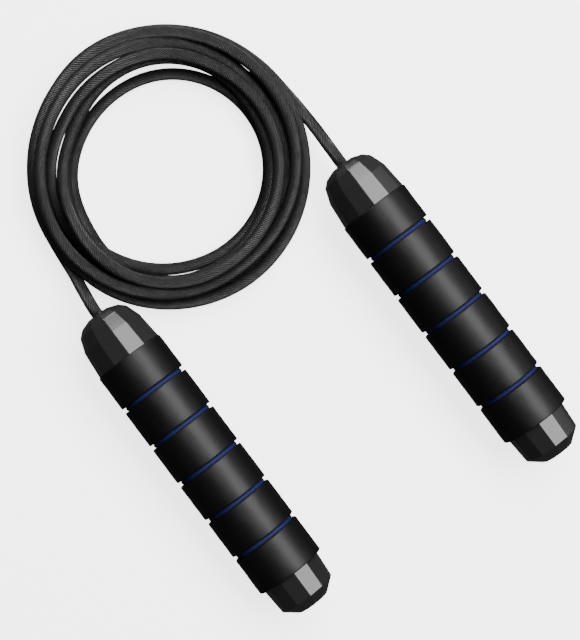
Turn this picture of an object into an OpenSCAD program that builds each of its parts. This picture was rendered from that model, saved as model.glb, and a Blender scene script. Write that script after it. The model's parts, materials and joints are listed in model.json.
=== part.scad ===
// Jump rope: two foam-gripped handles with ball bearings, joined by one coated
// steel rope that lies in a coil. The handles lie along Y with their rope ends
// towards +Y, and everything rests on the plane z = 0. The origin is on that
// plane, midway between the handles.

/* [Layout] */
// Distance between the axes of the two handles
handle_spacing = 128; // [124:1:160]
// How far the left handle lies ahead of the right one
handle_stagger = 12; // [0:0.1:12]

/* [Grip] */
// Outer diameter of the black foam rings
grip_d = 33.5; // [33:0.5:36]
// Number of black foam rings on one handle
ring_count = 6; // [4:1:8]
// Length of one black foam ring
ring_len = 18.45; // [15:0.05:22]
// Length of the first ring, beside the front cap
first_ring_len = 17.35; // [14:0.05:22]
// Width of the groove between two rings
groove_w = 2.1; // [1.5:0.1:4]
// Depth of the groove, down to the blue foam sleeve
groove_depth = 2; // [1.5:0.25:2.5]
// Wall of the blue foam sleeve
sleeve_wall = 2; // [1.5:0.25:2]
// Radius of the rounded edges of a foam ring
ring_edge_r = 0.6; // [0.3:0.1:1]
// Wall of the plastic tube under the foam
tube_wall = 2.5; // [2:0.25:2.5]

/* [End caps] */
// Number of flat sides round each end cap
cap_sides = 12; // [10:1:12]
// Angle that the edges of the left handle's caps are turned from upright
left_cap_turn = 8; // [-14:1:14]
// Angle that the edges of the right handle's caps are turned from upright
right_cap_turn = -2; // [-14:1:14]
// Length of the front cap outside the foam
front_len = 23.5; // [22.5:0.1:30]
// Length of the front cap's spigot inside the tube
front_spigot_len = 12; // [8:1:16]
// Length of the butt cap outside the foam
butt_len = 17.4; // [14:0.2:20]
// Length of the butt cap's plug inside the tube
butt_plug_len = 12; // [8:1:16]

/* [Bearing] */
// Outer diameter of the bearing
bearing_od = 16; // [15:0.5:16]
// Bore of the bearing
bearing_id = 8; // [7.5:0.5:8]
// Width of the bearing
bearing_w = 5; // [4:0.5:5]
// Diameter of one ball
ball_d = 2; // [1.8:0.1:2]
// Number of balls
ball_count = 10; // [7:1:11]

/* [Rope] */
// Diameter of the coated rope
rope_d = 5.5; // [4:0.1:5.5]
// Diameter of the steel wire core
wire_d = 2.4; // [1.5:0.1:2.6]
// Length of rope inside a handle, from its front face
tail_len = 100; // [90:1:110]
// Outer radius of the lying coil
coil_r_out = 65.5; // [60:0.5:66]
// Inner radius of the lying coil
coil_r_in = 40.5; // [30:0.5:45]
// Height of the lying coil
coil_h = 11; // [10:0.5:13]

/* [Hidden] */
HANDLE_PIECES = concat(
    ["front_cap", "core_tube", "foam_sleeve"],
    [for (i = [1:ring_count]) str("foam_ring_", i)],
    ["bearing_outer_race", "bearing_inner_race", "bearing_balls", "ball_cage", "bearing_shields",
     "retaining_ring", "rope_bush", "thrust_washer", "stop_collar", "set_screw",
     "rope_tail", "wire_core", "end_ferrule", "butt_cap"]
);
SIDES = ["left", "right"];

$fn = 64;
eps = 0.01;

// Colours
BLACK_FOAM = [0.05, 0.05, 0.055];
BLUE_FOAM = [0.08, 0.16, 0.42];
BLACK_PLASTIC = [0.12, 0.12, 0.13];
GREY_PLASTIC = [0.3, 0.3, 0.32];
WHITE_PLASTIC = [0.85, 0.85, 0.82];
STEEL = [0.7, 0.71, 0.73];
BRASS = [0.75, 0.6, 0.3];
ROPE_BLACK = [0.08, 0.08, 0.085];

// Places along a handle, measured from its front face towards its butt
grip_len = first_ring_len + (ring_count - 1) * (ring_len + groove_w);
handle_len = front_len + grip_len + butt_len;
grip_end = front_len + grip_len;
front_wall = 8;
bearing_end = front_wall + bearing_w;
flange_end = bearing_end + 1.2;
washer_end = flange_end + 0.8;
collar_end = washer_end + 9;
screw_at = washer_end + 4.5;

// Radii
grip_r = grip_d / 2;
sleeve_r = grip_r - groove_depth;
tube_r = sleeve_r - sleeve_wall;
tube_bore_r = tube_r - tube_wall;
rope_r = rope_d / 2;
wire_r = wire_d / 2;
bearing_r = bearing_od / 2;
bore_r = bearing_id / 2;
pitch_r = (bearing_r + bore_r) / 2;
race_gap = 0.66;
running = 0.05;
collar_r = 6;
screw_r = 2;
butt_flat_r = 7.8;

// Outlines of the end caps, as [distance along the handle, radius at the corners]
FRONT_OUTLINE = [[0, 5.6], [1.6, 10], [4.2, 12.8], [11, 15.2], [front_len, 16.3]];
BUTT_OUTLINE = [[0, 14.7], [butt_len - 4.8, 13.8], [butt_len, butt_flat_r]];

// Route of the rope from each handle to the coil, as [x, y, z]
RIGHT_ROUTE = [
    [64, 74.5, 16.75], [64, 78.5, 16.75], [64.1, 82.5, 16.4], [64.2, 86.5, 15.5], [64.4, 90.5, 13.9],
    [64.6, 93.5, 12.1], [64.7, 96.5, 9.7], [64.8, 99.5, 7.3], [64.8, 102.5, 5.5], [64.8, 106.5, 3.9],
    [64.7, 110.5, 3], [64.4, 114.5, 2.75]
];
LEFT_ROUTE = [
    [-64, 86.5, 16.75], [-64, 88.5, 16.75], [-63.7, 92.5, 16.4], [-63.3, 96.5, 15.3], [-63, 100.5, 13.3],
    [-62.8, 103.5, 11], [-62.5, 106.5, 8.5], [-62.3, 109.5, 6.2], [-62.1, 113.5, 4.2], [-61.8, 118.5, 2.9]
];
COIL_CENTRE = [1.4, 121.7];
ROUTE_SIDES = 10;

// Puts a piece that is modelled along +Z from the front face on one handle
module on_handle(side) {
    across = side == "left" ? -1 : 1;
    front_y = handle_len / 2 - across * handle_stagger / 2;
    translate([across * handle_spacing / 2, front_y, grip_r])
        rotate([90, 0, 0])
            children();
}

// A tube from one place along the handle to another
module sleeve(r_out, r_in, from, to) {
    translate([0, 0, from])
        difference() {
            cylinder(r = r_out, h = to - from);
            translate([0, 0, -eps])
                cylinder(r = r_in, h = to - from + 2 * eps);
        }
}

// A solid with flat sides that follows an outline of [distance, corner radius]
module faceted(outline) {
    last = outline[len(outline) - 1];
    points = concat([[0, outline[0][0]]], [for (p = outline) [p[1], p[0]]], [[0, last[0]]]);
    rotate_extrude($fn = cap_sides)
        polygon(points);
}

// The ring-shaped space that the balls run in
module ball_track() {
    translate([0, 0, front_wall + bearing_w / 2])
        rotate_extrude()
            translate([pitch_r, 0])
                circle(r = ball_d / 2 + running / 2);
}

// Front cap: faceted nose, rope hole, bearing seat and spigot
module front_cap(turn) {
    nose_hole_r = 4;
    relief_r = bearing_r - 1.6;
    color(BLACK_PLASTIC)
        difference() {
            union() {
                rotate(-turn)
                    faceted(FRONT_OUTLINE);
                translate([0, 0, front_len - eps])
                    cylinder(r = tube_bore_r, h = front_spigot_len + eps);
            }
            translate([0, 0, -eps])
                cylinder(r = nose_hole_r, h = front_wall + 2 * eps);
            translate([0, 0, front_wall - 0.5])
                cylinder(r = relief_r, h = 1);
            translate([0, 0, front_wall])
                cylinder(r = bearing_r, h = front_len + front_spigot_len);
            translate([0, 0, bearing_end])
                cylinder(r = bearing_r + 0.6, h = 1.1);
        }
}

// Plastic tube that carries the foam
module core_tube() {
    color(GREY_PLASTIC)
        sleeve(tube_r, tube_bore_r, front_len, grip_end);
}

// Blue foam sleeve, seen in the grooves between the black rings
module foam_sleeve() {
    color(BLUE_FOAM)
        sleeve(sleeve_r, tube_r, front_len, grip_end);
}

// One black foam ring with rounded outer edges
module foam_ring(index) {
    width = grip_r - sleeve_r;
    len = index == 1 ? first_ring_len : ring_len;
    ring_end = front_len + first_ring_len + (index - 1) * (ring_len + groove_w);
    color(BLACK_FOAM)
        translate([0, 0, ring_end - len])
            rotate_extrude()
                translate([sleeve_r, 0]) {
                    square([width - ring_edge_r, len]);
                    translate([0, ring_edge_r])
                        square([width, len - 2 * ring_edge_r]);
                    for (z = [ring_edge_r, len - ring_edge_r])
                        translate([width - ring_edge_r, z])
                            circle(r = ring_edge_r);
                }
}

module bearing_outer_race() {
    color(STEEL)
        difference() {
            sleeve(bearing_r, pitch_r + race_gap, front_wall, bearing_end);
            ball_track();
        }
}

module bearing_inner_race() {
    color(STEEL)
        difference() {
            sleeve(pitch_r - race_gap, bore_r, front_wall, bearing_end);
            ball_track();
        }
}

module bearing_balls() {
    color(STEEL)
        for (i = [0:ball_count - 1])
            rotate(i * 360 / ball_count)
                translate([pitch_r, 0, front_wall + bearing_w / 2])
                    sphere(r = ball_d / 2 - running / 2, $fn = 32);
}

// Ring between the races that keeps the balls apart
module ball_cage() {
    middle = front_wall + bearing_w / 2;
    color(BRASS)
        difference() {
            sleeve(pitch_r + 0.4, pitch_r - 0.4, middle - 1.5, middle + 1.5);
            for (i = [0:ball_count - 1])
                translate([0, 0, middle])
                    rotate([0, 90, i * 360 / ball_count])
                        cylinder(r = ball_d / 2 + running, h = bearing_r);
        }
}

// The two thin discs that close the bearing's faces
module bearing_shields() {
    shield_t = 0.3;
    color(STEEL)
        for (from = [front_wall + 0.15, bearing_end - 0.15 - shield_t])
            sleeve(pitch_r + race_gap, pitch_r - race_gap + 0.15, from, from + shield_t);
}

// Open spring ring that holds the bearing in the front cap
module retaining_ring() {
    color(STEEL)
        difference() {
            sleeve(bearing_r + 0.5, bearing_r - 1.4, bearing_end + 0.02, bearing_end + 1.02);
            translate([-1.5, -bearing_od, bearing_end - 1])
                cube([3, bearing_od, 3]);
        }
}

// Flanged plastic bush: it turns with the rope inside the bearing
module rope_bush() {
    color(WHITE_PLASTIC)
        difference() {
            union() {
                translate([0, 0, 0.4])
                    cylinder(r = 3.7, h = front_wall);
                translate([0, 0, front_wall])
                    cylinder(r = bore_r, h = bearing_w);
                translate([0, 0, bearing_end])
                    cylinder(r = bore_r + 1.2, h = flange_end - bearing_end);
            }
            cylinder(r = rope_r + running, h = flange_end + 1);
        }
}

module thrust_washer() {
    color(BRASS)
        sleeve(collar_r, rope_r + 0.2, flange_end, washer_end);
}

// Metal collar that the set screw clamps on the rope
module stop_collar() {
    color(STEEL)
        difference() {
            sleeve(collar_r, rope_r + running, washer_end, collar_end);
            translate([0, 0, screw_at])
                rotate([-90, 0, 0])
                    cylinder(r = screw_r + 0.02, h = collar_r + 1);
        }
}

// Headless screw with a hexagon socket
module set_screw() {
    tip = rope_r + 0.1;
    top = collar_r - 0.2;
    color(STEEL)
        translate([0, 0, screw_at])
            rotate([-90, 0, 0])
                difference() {
                    translate([0, 0, tip])
                        cylinder(r = screw_r - 0.02, h = top - tip);
                    translate([0, 0, top - 1.6])
                        cylinder(r = 1.15, h = 2, $fn = 6);
                }
}

// Straight end of the rope's coating, from the front face into the tube
module rope_tail() {
    color(ROPE_BLACK)
        sleeve(rope_r, wire_r, 0, tail_len);
}

// Steel wire inside the tail, bare for its last few millimetres
module wire_core() {
    color(STEEL)
        cylinder(r = wire_r, h = tail_len + 3);
}

// Crimped cup that keeps the wire's cut end from fraying
module end_ferrule() {
    color(BRASS)
        difference() {
            translate([0, 0, tail_len - 3])
                cylinder(r = rope_r + 0.7, h = 9);
            cylinder(r = rope_r, h = tail_len);
            cylinder(r = wire_r, h = tail_len + 3);
        }
}

// Push-in butt cap: faceted head and hollow plug
module butt_cap(turn) {
    plug_r = tube_bore_r - running;
    color(BLACK_PLASTIC)
        difference() {
            union() {
                translate([0, 0, grip_end])
                    rotate(-turn)
                        faceted(BUTT_OUTLINE);
                translate([0, 0, grip_end - butt_plug_len])
                    cylinder(r = plug_r, h = butt_plug_len + 1);
            }
            translate([0, 0, grip_end - butt_plug_len - eps])
                cylinder(r = plug_r - 2, h = butt_plug_len + 6);
        }
}

module handle_piece(side, piece) {
    turn = side == "left" ? left_cap_turn : right_cap_turn;
    if (piece == "front_cap") front_cap(turn);
    if (piece == "core_tube") core_tube();
    if (piece == "foam_sleeve") foam_sleeve();
    for (i = [1:ring_count])
        if (piece == str("foam_ring_", i)) foam_ring(i);
    if (piece == "bearing_outer_race") bearing_outer_race();
    if (piece == "bearing_inner_race") bearing_inner_race();
    if (piece == "bearing_balls") bearing_balls();
    if (piece == "ball_cage") ball_cage();
    if (piece == "bearing_shields") bearing_shields();
    if (piece == "retaining_ring") retaining_ring();
    if (piece == "rope_bush") rope_bush();
    if (piece == "thrust_washer") thrust_washer();
    if (piece == "stop_collar") stop_collar();
    if (piece == "set_screw") set_screw();
    if (piece == "rope_tail") rope_tail();
    if (piece == "wire_core") wire_core();
    if (piece == "end_ferrule") end_ferrule();
    if (piece == "butt_cap") butt_cap(turn);
}

// Direction of a route at one of its points
function along(route, i) =
    let (
        before = route[max(i - 1, 0)],
        after = route[min(i + 1, len(route) - 1)]
    )
    (after - before) / norm(after - before);

// Corners of the tube's ring round one point of a route
function tube_ring(route, i) =
    let (
        t = along(route, i),
        across = cross([1, 0, 0], t) / norm(cross([1, 0, 0], t)),
        side = cross(t, across)
    )
    [for (k = [0:ROUTE_SIDES - 1])
        let (a = k * 360 / ROUTE_SIDES)
        route[i] + rope_r * (cos(a) * side + sin(a) * across)];

// One closed tube along a route
module rope_tube(route) {
    n = ROUTE_SIDES;
    last = len(route) - 1;
    points = [for (i = [0:last]) for (p = tube_ring(route, i)) p];
    walls = [for (i = [0:last - 1]) for (k = [0:n - 1])
        [i * n + k, i * n + (k + 1) % n, (i + 1) * n + (k + 1) % n, (i + 1) * n + k]];
    near_end = [for (k = [0:n - 1]) n - 1 - k];
    far_end = [for (k = [0:n - 1]) last * n + k];
    color(ROPE_BLACK)
        polyhedron(points, concat([near_end, far_end], walls));
}

module left_rope_lead() {
    rope_tube(LEFT_ROUTE);
}

module right_rope_lead() {
    rope_tube(RIGHT_ROUTE);
}

// Outer shape of the coil: a flat ring with rounded edges
module rope_coil() {
    edge = 3.5;
    color(ROPE_BLACK)
        translate([COIL_CENTRE[0], COIL_CENTRE[1], 0])
            rotate_extrude() {
                translate([coil_r_in + edge, 0])
                    square([coil_r_out - coil_r_in - 2 * edge, coil_h]);
                translate([coil_r_in, edge])
                    square([coil_r_out - coil_r_in, coil_h - 2 * edge]);
                for (r = [coil_r_in + edge, coil_r_out - edge], z = [edge, coil_h - edge])
                    translate([r, z])
                        circle(r = edge);
            }
}

for (side = SIDES, piece = HANDLE_PIECES)
    on_handle(side) handle_piece(side, piece);
left_rope_lead();
right_rope_lead();
rope_coil();
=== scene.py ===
import json
import math

import bmesh
import bpy
import numpy as np
from mathutils import Matrix, Vector, noise


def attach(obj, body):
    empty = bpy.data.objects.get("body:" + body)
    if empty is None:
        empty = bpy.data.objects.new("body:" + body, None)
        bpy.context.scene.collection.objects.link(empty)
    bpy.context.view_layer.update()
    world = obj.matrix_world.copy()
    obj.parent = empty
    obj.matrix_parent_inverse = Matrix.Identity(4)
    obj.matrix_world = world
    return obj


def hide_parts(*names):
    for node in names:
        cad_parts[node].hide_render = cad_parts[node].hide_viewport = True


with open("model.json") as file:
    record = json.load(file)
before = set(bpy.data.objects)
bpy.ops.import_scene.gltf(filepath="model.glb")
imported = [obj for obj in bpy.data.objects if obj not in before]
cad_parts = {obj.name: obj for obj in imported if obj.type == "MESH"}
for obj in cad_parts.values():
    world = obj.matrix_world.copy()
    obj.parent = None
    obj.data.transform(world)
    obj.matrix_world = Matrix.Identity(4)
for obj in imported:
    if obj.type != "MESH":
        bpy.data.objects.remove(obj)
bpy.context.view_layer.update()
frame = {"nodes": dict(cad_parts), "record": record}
MM = 0.001


# ---------------------------------------------------------------- camera
# It looks straight down, turned so that the handles run to the lower right.
EYE = (3.45, 32.9, 760.0)  # mm
HANDLE_Z = 16.75  # mm, the height of the handles' axes
PICTURE_HEIGHT = 286.7  # mm of the scene from the picture's top to its bottom, at that height
SENSOR = 36
camera_data = bpy.data.cameras.new("camera")
camera_data.sensor_width = SENSOR
camera_data.lens = SENSOR * (EYE[2] - HANDLE_Z) / PICTURE_HEIGHT
camera = bpy.data.objects.new("camera", camera_data)
camera.location = [c * MM for c in EYE]
camera.rotation_euler = (0, 0, math.radians(-36.9))
bpy.context.scene.collection.objects.link(camera)
bpy.context.scene.camera = camera


# ---------------------------------------------------------------- the rope's route
# Lengths in this part are millimetres, as in the part's source.
ROPE_D = 5.5
FRONT = {"left": 86.5, "right": 74.5}
ACROSS = {"left": -64.0, "right": 64.0}
COIL = (1.4, 121.7)

# From each handle down to the coil, the same points as in part.scad
RIGHT_ROUTE = [
    (64, 74.5, 16.75), (64, 78.5, 16.75), (64.1, 82.5, 16.4), (64.2, 86.5, 15.5), (64.4, 90.5, 13.9),
    (64.6, 93.5, 12.1), (64.7, 96.5, 9.7), (64.8, 99.5, 7.3), (64.8, 102.5, 5.5), (64.8, 106.5, 3.9),
    (64.7, 110.5, 3), (64.4, 114.5, 2.75)]
LEFT_ROUTE = [
    (-64, 86.5, 16.75), (-64, 88.5, 16.75), (-63.7, 92.5, 16.4), (-63.3, 96.5, 15.3), (-63, 100.5, 13.3),
    (-62.8, 103.5, 11), (-62.5, 106.5, 8.5), (-62.3, 109.5, 6.2), (-62.1, 113.5, 4.2), (-61.8, 118.5, 2.9)]

# The coil, one row per turn: its distance from the coil's centre at every 30 degrees,
# anticlockwise from +X, as it looks from above for a strand at the height SEEN_AT
SEEN_AT = 4
TURNS = (
    (62.4, 61.4, 60.2, 59.5, 59.5, 58.6, 57.4, 58.2, 59.2, 59.0, 58.5, 57.5),
    (55.1, 53.0, 51.2, 49.6, 47.4, 47.8, 50.2, 48.1, 46.4, 45.8, 45.6, 45.2),
    (44.1, 43.1, 42.3, 41.6, 42.4, 44.8, 46.6, 51.4, 52.2, 49.8, 47.4, 46.2),
    (46.5, 48.8, 49.8, 48.7, 46.9, 49.1, 50.6, 53.0, 53.0, 51.6, 50.6, 50.0),
    (50.0, 50.2, 51.4, 51.8, 52.4, 54.6, 53.8, 53.0, 53.8, 53.6, 53.5, 53.2),
    (53.2, 55.2, 56.8, 57.9, 58.3, 59.4, 59.9, 59.0, 57.8, 55.9, 56.7, 58.0),
    (59.2, 60.4, 61.9, 62.8, 62.3, 62.3, 61.6, 62.5, 62.5, 62.5, 62.0, 61.7),
    (61.8, 61.9, 62.6, 63.5, 62.0, 62.5, 62.3),
)
# Which strand lies over which: the higher figure is on top where two strands meet.
# Strands of equal figures lie beside each other.
LEVELS = (
    (0, 0, 0, 0, 0, 0, 0, 0, 0, 0, 0, 0),
    (1, 1, 1, 1.5, 3, 3, 3, 3, 0.8, 0.8, 0.8, 1),
    (2, 2, 2, 2, 2, 2, 2, 2.2, 3, 3, 3, 3),
    (4, 4, 4, 4, 4.5, 6, 6, 6, 6, 6, 6, 6.5),
    (7, 7, 7, 7, 7, 5.5, 1.7, 1.2, 1.8, 2, 2, 2.5),
    (3, 3, 4.7, 6, 7, 7.5, 8, 7, 5.2, 5, 5, 5),
    (5, 5, 4, 4, 5, 6, 6, 5, 4, 4, 3.5, 3),
    (3, 3, 3, 3, 3, 3, 3),
)
# How the rope settles
STEPS = 20  # points between two figures of a row
SPACING = 1.5  # between two points of the finished rope
LEVEL_HEIGHT = 1.2  # a strand starts this much higher for each level
ROUNDS, FALLS, FALL = 6, 250, 0.05  # rounds, small falls in each, and the height of one
LAST_PUSHES = 30  # at the end of the last round, without a fall
STIFFNESS, REACH = 0.35, 8  # how much, and over how many points, a fall evens out
STRAIGHT, TURNING = 9, 30  # from each handle, straight, and then more and more loose


def spline(points, per):
    """A smooth curve through points, with per steps in each span."""
    p = np.array(points, float)
    p = p[:, None] if p.ndim == 1 else p
    p = np.vstack([2 * p[0] - p[1], p, 2 * p[-1] - p[-2]])
    t = np.arange(per)[:, None] / per
    out = []
    for a, b, c, d in zip(p[:-3], p[1:-2], p[2:-1], p[3:]):
        out.append(0.5 * (2 * b + (c - a) * t + (2 * a - 5 * b + 4 * c - d) * t ** 2
                          + (3 * b - a - 3 * c + d) * t ** 3))
    return np.vstack(out + [p[-2][None]])


def evenly(p, step):
    """The same route with points a fixed step apart. Columns after the third go along."""
    s = np.r_[0, np.cumsum(np.linalg.norm(np.diff(p[:, :3], axis=0), axis=1))]
    at = np.linspace(0, s[-1], int(round(s[-1] / step)) + 1)
    return np.stack([np.interp(at, s, p[:, k]) for k in range(p.shape[1])], 1)


def soften(z, width):
    """Smooths a column of numbers; width is in points."""
    reach = int(width * 2.5)
    weight = np.exp(-0.5 * (np.arange(-reach, reach + 1) / width) ** 2)
    return np.convolve(np.pad(z, reach, mode="edge"), weight / weight.sum(), "valid")


def whole_route():
    """The free rope before it settles: right handle, seven and a half turns, left handle.
    Its columns are x, y, z, level, and 1 in the coil or 0 outside it."""
    radii = spline([r for row in TURNS for r in row], STEPS)[:, 0]
    levels = spline([v for row in LEVELS for v in row], STEPS)[:, 0]
    a = np.radians(np.arange(len(radii)) * 30 / STEPS)
    coil = np.column_stack([COIL[0] + radii * np.cos(a), COIL[1] + radii * np.sin(a),
                            ROPE_D / 2 + LEVEL_HEIGHT * levels, levels, np.ones(len(a))])
    right, left = [np.column_stack([q, np.zeros((len(q), 2))])
                   for q in (spline(RIGHT_ROUTE, 6), spline(LEFT_ROUTE, 6)[::-1])]
    return evenly(np.vstack([right, coil[4:-4], left]), SPACING)


def crossings(xy, level):
    """Pairs of points where one strand lies on another, and how far apart in height they are."""
    same_strand = 10  # points closer than this along the rope are one strand
    place = np.arange(len(xy))
    apart = np.sqrt(((xy[:, None] - xy[None]) ** 2).sum(-1))
    i, j = np.where((apart < ROPE_D) & (place[None] - place[:, None] > same_strand))
    gap = np.sqrt(ROPE_D ** 2 - apart[i, j] ** 2)
    gap = gap * np.clip(np.abs(level[i] - level[j]) / 0.5, 0, 1)
    upper, lower = np.where(level[i] >= level[j], (i, j), (j, i))
    return upper, lower, gap


def push_apart(z, free, fixed, upper, lower, gap):
    """Lifts what is too low over another strand or the floor, and presses the strand under it."""
    z = np.where(free, np.maximum(z, ROPE_D / 2), fixed)
    need = z[lower] + gap - z[upper]
    bad = need > 0
    lift, drop = np.zeros(len(z)), np.zeros(len(z))
    np.maximum.at(lift, upper[bad], 0.6 * need[bad])
    np.maximum.at(drop, lower[bad], 0.4 * need[bad])
    return z + np.where(free, lift - drop, 0)


def lay_rope():
    """The whole free rope as points. Each strand sinks under its own weight until it lies
    on the floor or on other strands."""
    p = whole_route()
    free = p[:, 4] > 0.5
    place = np.arange(len(p))
    inside = np.where(free)[0]
    ease = np.clip(np.minimum(place - inside[0], inside[-1] - place) / 20.0, 0, 1)
    seen, level, z = p[:, :2], p[:, 3], p[:, 2]
    for number in range(ROUNDS):
        # A strand that lies higher looks further out from above, so it really lies further in
        k = (1 - (EYE[2] - z) / (EYE[2] - SEEN_AT)) * ease
        xy = seen + (np.array(EYE[:2]) - seen) * np.where(free, k, 0)[:, None]
        upper, lower, gap = crossings(xy, level)
        for fall in range(FALLS):
            if number < ROUNDS - 1 or fall < FALLS - LAST_PUSHES:
                z = z - FALL
                z = z + STIFFNESS * (soften(z, REACH) - z)
            for _ in range(2):
                z = push_apart(z, free, p[:, 2], upper, lower, gap)
    # The rope is stiff: no kinks, except that its ends leave the handles straight
    rope = np.column_stack([xy, z])
    loose = np.clip((np.minimum(place, place[-1] - place) * SPACING - STRAIGHT) / TURNING, 0, 1)
    for column, width in ((0, 2.5), (1, 2.5), (2, 4), (2, 4)):
        c = rope[:, column]
        rope[:, column] = c + loose * (soften(c, width) - c)
    rope[:, 2] = np.maximum(rope[:, 2], ROPE_D / 2)
    return rope


# ---------------------------------------------------------------- mesh helpers
def obj_from(name, verts, faces, uvs=None, material=None):
    """A smooth-shaded object; uvs holds one pair for each corner of each face."""
    mesh = bpy.data.meshes.new(name)
    mesh.from_pydata([tuple(v) for v in verts], [], faces)
    if uvs is not None:
        layer = mesh.uv_layers.new(name="UVMap")
        loops = np.array([uv for face in uvs for uv in face], np.float32).ravel()
        layer.data.foreach_set("uv", loops)
    mesh.polygons.foreach_set("use_smooth", [True] * len(mesh.polygons))
    mesh.update()
    obj = bpy.data.objects.new(name, mesh)
    bpy.context.scene.collection.objects.link(obj)
    if material:
        mesh.materials.append(material)
    return obj


def sweep(name, line, radius, sides, material):
    """A closed round tube along points in metres. Its UVs are turns round and metres along."""
    line = np.asarray(line, float)
    tangent = np.gradient(line, axis=0)
    tangent /= np.linalg.norm(tangent, axis=1)[:, None]
    side = np.cross(tangent, np.array([0, 0, 1.0]))
    side /= np.linalg.norm(side, axis=1)[:, None]
    up = np.cross(side, tangent)
    along = np.r_[0, np.cumsum(np.linalg.norm(np.diff(line, axis=0), axis=1))]
    angle = np.arange(sides) * 2 * math.pi / sides
    rings = (line[:, None] + radius * (np.cos(angle)[None, :, None] * side[:, None]
                                       + np.sin(angle)[None, :, None] * up[:, None]))
    verts = rings.reshape(-1, 3)
    faces, uvs = [], []
    for i in range(len(line) - 1):
        for k in range(sides):
            m = (k + 1) % sides
            faces.append((i * sides + k, (i + 1) * sides + k, (i + 1) * sides + m, i * sides + m))
            u0, u1 = k / sides, (k + 1) / sides
            uvs.append(((u0, along[i]), (u0, along[i + 1]), (u1, along[i + 1]), (u1, along[i])))
    last = (len(line) - 1) * sides
    faces.append(tuple(range(sides)))
    uvs.append([(0, 0)] * sides)
    faces.append(tuple(last + k for k in reversed(range(sides))))
    uvs.append([(0, 0)] * sides)
    return obj_from(name, verts, faces, uvs, material)


def face_outward(obj):
    """Turns every face of a closed solid to the outside."""
    bm = bmesh.new()
    bm.from_mesh(obj.data)
    bmesh.ops.recalc_face_normals(bm, faces=bm.faces)
    bm.to_mesh(obj.data)
    bm.free()


def keep(obj):
    """Makes an object's modifiers part of its mesh."""
    seen = obj.evaluated_get(bpy.context.evaluated_depsgraph_get())
    mesh = bpy.data.meshes.new_from_object(seen)
    obj.modifiers.clear()
    obj.data = mesh


# ---------------------------------------------------------------- materials
RIDGES = 16  # ridges of twisted wire round the rope
LAY = 0.022  # metres of rope in which a ridge goes round once


def material(name, color, rough, metal=0.0, spec=0.5):
    """A new material, with its node tree and its Principled BSDF."""
    m = bpy.data.materials.new(name)
    m.use_nodes = True
    b = m.node_tree.nodes["Principled BSDF"]
    b.inputs["Base Color"].default_value = (*color, 1)
    b.inputs["Roughness"].default_value = rough
    b.inputs["Metallic"].default_value = metal
    b.inputs["Specular IOR Level"].default_value = spec
    return m, m.node_tree, b


def add(tree, kind, **inputs):
    """A new node with values on its sockets; To_Min stands for the socket To Min."""
    n = tree.nodes.new(kind)
    for key, value in inputs.items():
        n.inputs[key.replace("_", " ")].default_value = value
    return n


def math_node(tree, operation, a, b=None):
    """The result of a Math node; a and b are numbers or sockets."""
    n = tree.nodes.new("ShaderNodeMath")
    n.operation = operation
    for socket, value in ((0, a), (1, b)):
        if value is None:
            continue
        if isinstance(value, (int, float)):
            n.inputs[socket].default_value = value
        else:
            tree.links.new(value, n.inputs[socket])
    return n.outputs[0]


def grain(tree, bsdf, scale, strength, distance):
    """Fine noise as bump."""
    where = tree.nodes.new("ShaderNodeTexCoord")
    n = add(tree, "ShaderNodeTexNoise", Scale=scale, Detail=3.0)
    tree.links.new(where.outputs["Object"], n.inputs["Vector"])
    bump = add(tree, "ShaderNodeBump", Strength=strength, Distance=distance)
    tree.links.new(n.outputs["Fac"], bump.inputs["Height"])
    tree.links.new(bump.outputs["Normal"], bsdf.inputs["Normal"])


def rope_material():
    """Smooth black coating over twisted wire: fine slanting ridges show through it as bumps, and its base
    colour is painted shade, darker in the grooves between the ridges.
    """
    m, tree, b = material("rope_coating", (0.008, 0.008, 0.0085), 0.47, spec=0.4)
    uv = tree.nodes.new("ShaderNodeUVMap")
    xyz = tree.nodes.new("ShaderNodeSeparateXYZ")
    tree.links.new(uv.outputs["UV"], xyz.inputs[0])
    # The ridges slant round the rope; noise makes some of them fainter
    phase = math_node(tree, "ADD", math_node(tree, "MULTIPLY", xyz.outputs[0], RIDGES * 2 * math.pi),
                      math_node(tree, "MULTIPLY", xyz.outputs[1], RIDGES * 2 * math.pi / LAY))
    wave = math_node(tree, "SINE", phase)
    where = tree.nodes.new("ShaderNodeTexCoord")
    patch = add(tree, "ShaderNodeTexNoise", Scale=180.0, Detail=2.0)
    tree.links.new(where.outputs["Object"], patch.inputs["Vector"])
    height = math_node(tree, "MULTIPLY", wave, math_node(tree, "ADD", patch.outputs["Fac"], 0.4))
    bump = add(tree, "ShaderNodeBump", Strength=1.0, Distance=0.00018)
    tree.links.new(height, bump.inputs["Height"])
    tree.links.new(bump.outputs["Normal"], b.inputs["Normal"])
    # Painted shade: the base colour follows the ridges' height, darker in the grooves between them and
    # lighter on their crests.
    colour = add(tree, "ShaderNodeMapRange", From_Min=-1.0, From_Max=1.0, To_Min=0.0, To_Max=0.016)
    tree.links.new(height, colour.inputs["Value"])
    tree.links.new(colour.outputs["Result"], b.inputs["Base Color"])
    gloss = add(tree, "ShaderNodeMapRange", From_Min=-1.0, From_Max=1.0, To_Min=0.55, To_Max=0.26)
    tree.links.new(height, gloss.inputs["Value"])
    tree.links.new(gloss.outputs["Result"], b.inputs["Roughness"])
    return m


ROPE = rope_material()


# ---------------------------------------------------------------- rope
TAIL = 100  # mm of rope inside each handle
line = lay_rope() * MM
rope = sweep("rope", line, ROPE_D / 2 * MM, 16, ROPE)
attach(rope, "rope")
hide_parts("rope_coil", "left_rope_lead", "right_rope_lead")
length = float(np.linalg.norm(np.diff(line, axis=0), axis=1).sum())
print("rope length", round(length, 4), "m, highest point", round(line[:, 2].max() / MM, 2), "mm")

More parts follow.
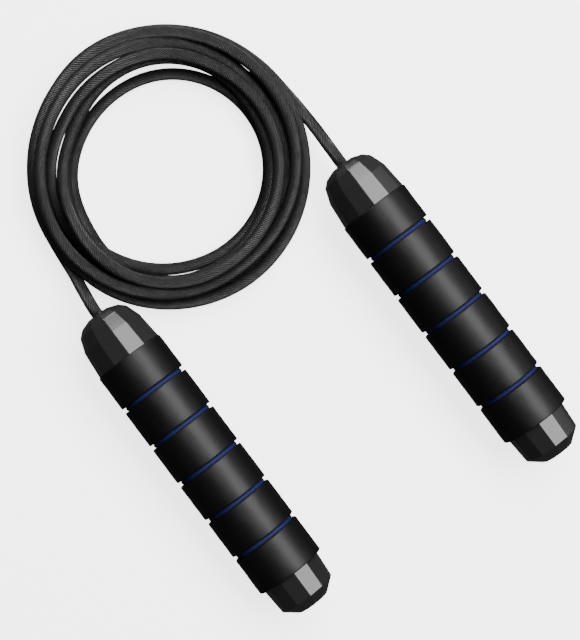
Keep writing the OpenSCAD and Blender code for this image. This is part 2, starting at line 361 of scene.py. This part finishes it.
for side in ("left", "right"):
    x, y = ACROSS[side] * MM, FRONT[side] * MM
    straight = [(x, y - s * MM, HANDLE_Z * MM) for s in range(0, TAIL + 1, 2)]
    tail = sweep(f"{side}_rope_end", straight, ROPE_D / 2 * MM, 24, ROPE)
    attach(tail, "rope")
    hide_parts(f"{side}_rope_tail")


# ---------------------------------------------------------------- finishes of the CAD pieces
def plain(name, color, rough, metal=0.0, spec=0.5, bump=(400, 0.1, 0.0001)):
    """One colour with fine grain; bump holds the grain's scale, strength and depth."""
    m, tree, b = material(name, color, rough, metal, spec)
    grain(tree, b, *bump)
    return m


FINISH = {
    "black_foam": plain("black_foam", (0.001, 0.001, 0.0011), 0.45, spec=0.27, bump=(1500, 0.25, 0.00012)),
    "blue_foam": plain("blue_foam", (0.003, 0.007, 0.05), 0.7, spec=0.3, bump=(900, 0.5, 0.0004)),
    "cap_plastic": plain("cap_plastic", (0.012, 0.012, 0.0125), 0.2, bump=(900, 0.08, 0.0001)),
    "tube_plastic": plain("tube_plastic", (0.05, 0.05, 0.055), 0.5),
    "bearing_steel": plain("bearing_steel", (0.6, 0.6, 0.62), 0.25, 1.0),
    "spring_steel": plain("spring_steel", (0.12, 0.12, 0.13), 0.35, 1.0),
    "collar_metal": plain("collar_metal", (0.7, 0.7, 0.72), 0.3, 1.0),
    "cage_brass": plain("cage_brass", (0.72, 0.5, 0.2), 0.3, 1.0),
    "bush_plastic": plain("bush_plastic", (0.7, 0.7, 0.66), 0.45),
    "rope_coating": ROPE,
    "wire_steel": plain("wire_steel", (0.5, 0.5, 0.52), 0.35, 1.0),
}
for part in frame["record"]["subparts"]:
    node = frame["nodes"][part["node"]]
    node.data.materials.clear()
    node.data.materials.append(FINISH[part["material_slot"]])


# ---------------------------------------------------------------- handles
# Places along a handle are millimetres from its front face towards its butt.
CAP_SIDES, ROUND = 12, 48
CAP_TURN = {"left": 8, "right": -2}  # degrees that the caps' edges are turned from upright
FOAM_R, SLEEVE_R, TUBE_R, BORE_R = 16.75, 14.75, 12.75, 10.25
GRIP_START, FIRST_RING, RING, GROOVE, RINGS = 23.5, 17.35, 18.45, 2.1, 6
RING_EDGE = 0.6  # radius of a foam ring's edges
DENT = 0.12  # height of the foam's small dents
SWELL = 0.5  # how far the blue foam swells in a groove
GRIP_END = GRIP_START + FIRST_RING + (RINGS - 1) * (GROOVE + RING)
HANDLE_LEN = 161
HOLE_R, FRONT_WALL, BEARING_R, SPIGOT_END = 4, 8, 8, 35.5
PLUG_R, PLUG_BORE_R, PLUG_START, PLUG_FLOOR = 10.2, 8.2, GRIP_END - 12, GRIP_END + 6
# Outlines of the caps, as (along the handle, radius at the corners)
FRONT_OUTLINE = ((0, 5.6), (1.6, 10), (4.2, 12.8), (11, 15.2), (GRIP_START, 16.3))
FRONT_INSIDE = ((0, HOLE_R), (FRONT_WALL, HOLE_R), (FRONT_WALL, BEARING_R), (SPIGOT_END, BEARING_R),
                (SPIGOT_END, BORE_R), (GRIP_START, BORE_R))
BUTT_OUTLINE = ((HANDLE_LEN, 7.8), (HANDLE_LEN - 4.8, 13.8), (GRIP_END, 14.7))
BUTT_INSIDE = ((GRIP_END, PLUG_R), (PLUG_START, PLUG_R), (PLUG_START, PLUG_BORE_R),
               (PLUG_FLOOR, PLUG_BORE_R))


def place(side, s, r, a):
    """The point s along a handle, r from its axis, a radians from upright towards +X."""
    return Vector(((ACROSS[side] + r * math.sin(a)) * MM, (FRONT[side] - s) * MM,
                   (HANDLE_Z + r * math.cos(a)) * MM))


def circle(side, s, r, sides, turn):
    """Points round a handle, the first one turned that many degrees from upright."""
    return [place(side, s, r, math.radians(turn) + 2 * math.pi * k / sides) for k in range(sides)]


class Shell:
    """Vertices and faces of a closed cap made of rings, some with few sides and some round."""

    def __init__(self, side):
        self.side, self.verts, self.faces = side, [], []

    def ring(self, s, r, sides):
        first = len(self.verts)
        self.verts += circle(self.side, s, r, sides, CAP_TURN[self.side])
        return first, sides

    def wall(self, a, b):
        """Faces between two rings; each face takes one side of the ring that has fewer."""
        few, many = (a, b) if a[1] <= b[1] else (b, a)
        step = many[1] // few[1]
        for k in range(few[1]):
            edge = [few[0] + k, few[0] + (k + 1) % few[1]]
            arc = [many[0] + (k * step + t) % many[1] for t in range(step + 1)]
            self.faces.append(tuple(edge + arc[::-1]))

    def lid(self, a):
        self.faces.append(tuple(a[0] + k for k in range(a[1])))

    def make(self, name, body, node):
        finish = FINISH["cap_plastic"]
        obj = obj_from(name, self.verts, self.faces, material=finish)
        face_outward(obj)
        bevel = obj.modifiers.new("edges", "BEVEL")
        bevel.width, bevel.segments = 0.3 * MM, 2
        # Low enough for the edges between the rows of flat faces
        bevel.limit_method, bevel.angle_limit = "ANGLE", math.radians(9)
        obj.modifiers.new("flat faces", "WEIGHTED_NORMAL").keep_sharp = False
        keep(obj)
        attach(obj, body)
        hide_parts(node)


def lathe(name, side, profile, finish, wobble=0.0, seed=0.0):
    """A closed round piece from a closed outline of (along, radius), with dents up to wobble."""
    verts, faces = [], []
    n, sides = len(profile), 96
    for k in range(sides):
        a = 2 * math.pi * k / sides
        for s, r in profile:
            spot = Vector((math.sin(a) * 3 + seed, math.cos(a) * 3, s * 0.25 + seed))
            dent = wobble * noise.noise(spot)
            verts.append(place(side, s + dent * 0.6, r + dent, a))
    for k in range(sides):
        m = (k + 1) % sides
        for i in range(n):
            j = (i + 1) % n
            faces.append((k * n + i, k * n + j, m * n + j, m * n + i))
    obj = obj_from(name, verts, faces, material=finish)
    face_outward(obj)
    obj.data.set_sharp_from_angle(angle=math.radians(50))
    return obj


def front_cap(side):
    """The cap that the rope leaves by: flat-sided outside, a spigot and bearing seat inside."""
    shell = Shell(side)
    outer = [shell.ring(s, r, CAP_SIDES) for s, r in FRONT_OUTLINE]
    inner = [shell.ring(s, r, ROUND) for s, r in FRONT_INSIDE]
    rings = outer[::-1] + inner + [outer[-1]]
    for a, b in zip(rings[:-1], rings[1:]):
        shell.wall(a, b)
    shell.make(f"{side}_front_cap_shell", f"{side}_handle", f"{side}_front_cap")


def butt_cap(side):
    """The cap that pulls out: flat-sided head with a flat end, and a hollow plug."""
    shell = Shell(side)
    outer = [shell.ring(s, r, CAP_SIDES) for s, r in BUTT_OUTLINE]
    inner = [shell.ring(s, r, ROUND) for s, r in BUTT_INSIDE]
    rings = outer + inner
    for a, b in zip(rings[:-1], rings[1:]):
        shell.wall(a, b)
    shell.lid(rings[0])
    shell.lid(rings[-1])
    shell.make(f"{side}_butt_cap_shell", f"{side}_butt", f"{side}_butt_cap")


def ring_end(number):
    """Where a foam ring ends; the first ring, beside the front cap, is number 1."""
    return GRIP_START + FIRST_RING + (number - 1) * (RING + GROOVE)


def rounded(s, first):
    """A quarter circle at a foam ring's edge, from first degrees down, round the place s."""
    angles = [math.radians(first - t * 22.5) for t in range(5)]
    return [(s + RING_EDGE * math.cos(a), FOAM_R - RING_EDGE + RING_EDGE * math.sin(a)) for a in angles]


def foam_ring(side, number):
    """One black ring with rounded edges and small dents."""
    length = FIRST_RING if number == 1 else RING
    end = ring_end(number)
    start = end - length
    flat = [(start + length * f, FOAM_R) for f in (0.2, 0.35, 0.5, 0.65, 0.8)]
    profile = ([(start, SLEEVE_R)] + rounded(start + RING_EDGE, 180) + flat
               + rounded(end - RING_EDGE, 90) + [(end, SLEEVE_R)])
    name = f"{side}_foam_ring_{number}_soft"
    ring = lathe(name, side, profile, FINISH["black_foam"], DENT, number * 7.3)
    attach(ring, f"{side}_handle")
    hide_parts(f"{side}_foam_ring_{number}")


def foam_sleeve(side):
    """The blue foam: it swells a little in each groove."""
    profile = [(GRIP_START, TUBE_R), (GRIP_START, SLEEVE_R)]
    for number in range(1, RINGS):
        for t in range(7):
            x = t / 6
            profile.append((ring_end(number) + GROOVE * x, SLEEVE_R + SWELL * math.sin(math.pi * x)))
    profile += [(GRIP_END, SLEEVE_R), (GRIP_END, TUBE_R)]
    sleeve = lathe(f"{side}_foam_sleeve_soft", side, profile, FINISH["blue_foam"])
    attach(sleeve, f"{side}_handle")
    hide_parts(f"{side}_foam_sleeve")


for side in ("left", "right"):
    front_cap(side)
    butt_cap(side)
    foam_sleeve(side)
    for number in range(1, RINGS + 1):
        foam_ring(side, number)


# ---------------------------------------------------------------- floor and light
def soft_box(name, place, size, power, target=(0, 0.04, 0)):
    """A rectangular light whose long side lies along Y; places and sizes in metres."""
    data = bpy.data.lights.new(name, "AREA")
    data.shape = "RECTANGLE"
    data.size, data.size_y = size
    data.energy = power
    light = bpy.data.objects.new(name, data)
    light.location = place
    away = (Vector(place) - Vector(target)).normalized()
    along = Vector((0, 1, 0))
    across = along.cross(away).normalized()
    light.rotation_euler = Matrix((across, away.cross(across), away)).transposed().to_euler()
    bpy.context.scene.collection.objects.link(light)
    return light


def paper_floor():
    """Pale paper just under the rope. It glows, and the object neither mirrors it nor takes
    light from it, so the foam stays black on a white ground."""
    m, tree, b = material("paper", (0.9, 0.9, 0.9), 0.9, spec=0.0)
    b.inputs["Emission Color"].default_value = (1, 1, 1, 1)
    b.inputs["Emission Strength"].default_value = 3.0
    bpy.ops.mesh.primitive_plane_add(size=8, location=(0, 0, -0.0002))
    floor = bpy.context.object
    floor.name = "floor"
    floor.data.materials.append(m)
    floor.visible_glossy = False
    floor.visible_diffuse = False


def dim_world():
    world = bpy.data.worlds.new("world")
    bpy.context.scene.world = world
    world.use_nodes = True
    back = world.node_tree.nodes["Background"]
    back.inputs["Color"].default_value = (1, 1, 1, 1)
    back.inputs["Strength"].default_value = 0.07


def soft_boxes():
    """Above the right side, low on the right, overhead, and low beyond the coil."""
    soft_box("key", (0.95, 0.1, 1.42), (0.95, 2.8), 96)
    soft_box("low_right", (1.5, 0.04, 0.09), (0.12, 2.6), 3.5)
    soft_box("above", (-0.05, 0.1, 1.7), (0.45, 0.9), 4.5, (0, 0.1, 0))
    beyond = soft_box("beyond", (0.5, 1.6, 0.18), (1.2, 0.34), 30)
    beyond.rotation_euler = (math.radians(-82), 0, math.radians(-16))


paper_floor()
dim_world()
soft_boxes()
